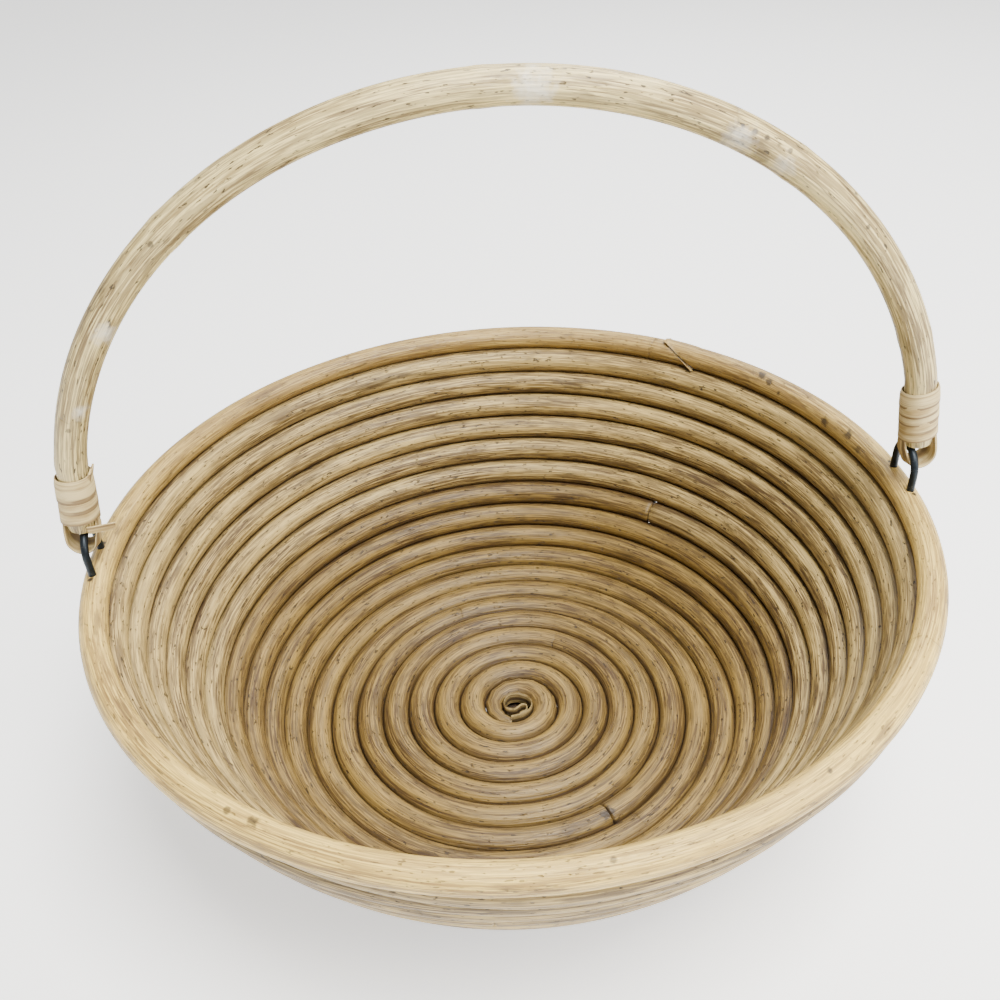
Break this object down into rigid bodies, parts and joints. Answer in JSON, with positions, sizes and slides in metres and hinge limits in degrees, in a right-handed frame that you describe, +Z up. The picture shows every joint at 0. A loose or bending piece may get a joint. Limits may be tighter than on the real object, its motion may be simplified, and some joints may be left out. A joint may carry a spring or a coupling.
{
  "type": "fruit basket",
  "caption": "Round shallow bowl of coiled rattan rod with a closed rim hoop and an arched bail handle swinging on wire staples, for holding and carrying fruit.",
  "frame": {"origin": "centre of the rim's outline, on the surface the floor coil rests on", "axes": "+X along the line through the two handle staples, +Z up, +Y across"},
  "size_m": [0.3124, 0.3074, 0.2651],
  "materials": {
    "cane_coil": "natural satin",
    "cane_rim": "natural satin",
    "pole_cane": "glossy natural skin",
    "split_peel": "natural matt",
    "black_wire": "dark satin"
  },
  "bodies": {
    "basket": {"coil_rod_floor": "cane_coil", "coil_rod_lower_wall": "cane_coil", "coil_rod_middle_wall": "cane_coil", "coil_rod_upper_wall": "cane_coil", "rim_hoop": "cane_rim", "wire_staple_left": "black_wire", "wire_staple_right": "black_wire"},
    "handle": {"handle_pole": "pole_cane", "peel_binding_left": "split_peel", "peel_binding_right": "split_peel", "eye_strap_left": "split_peel", "eye_strap_right": "split_peel"}
  },
  "joints": [
    {"name": "handle_swing", "type": "hinge", "parent": "basket", "child": "handle", "pos_m": [0, 0, 0.11392], "axis": [1, 0, 0], "range_deg": [-70, 70]}
  ]
}
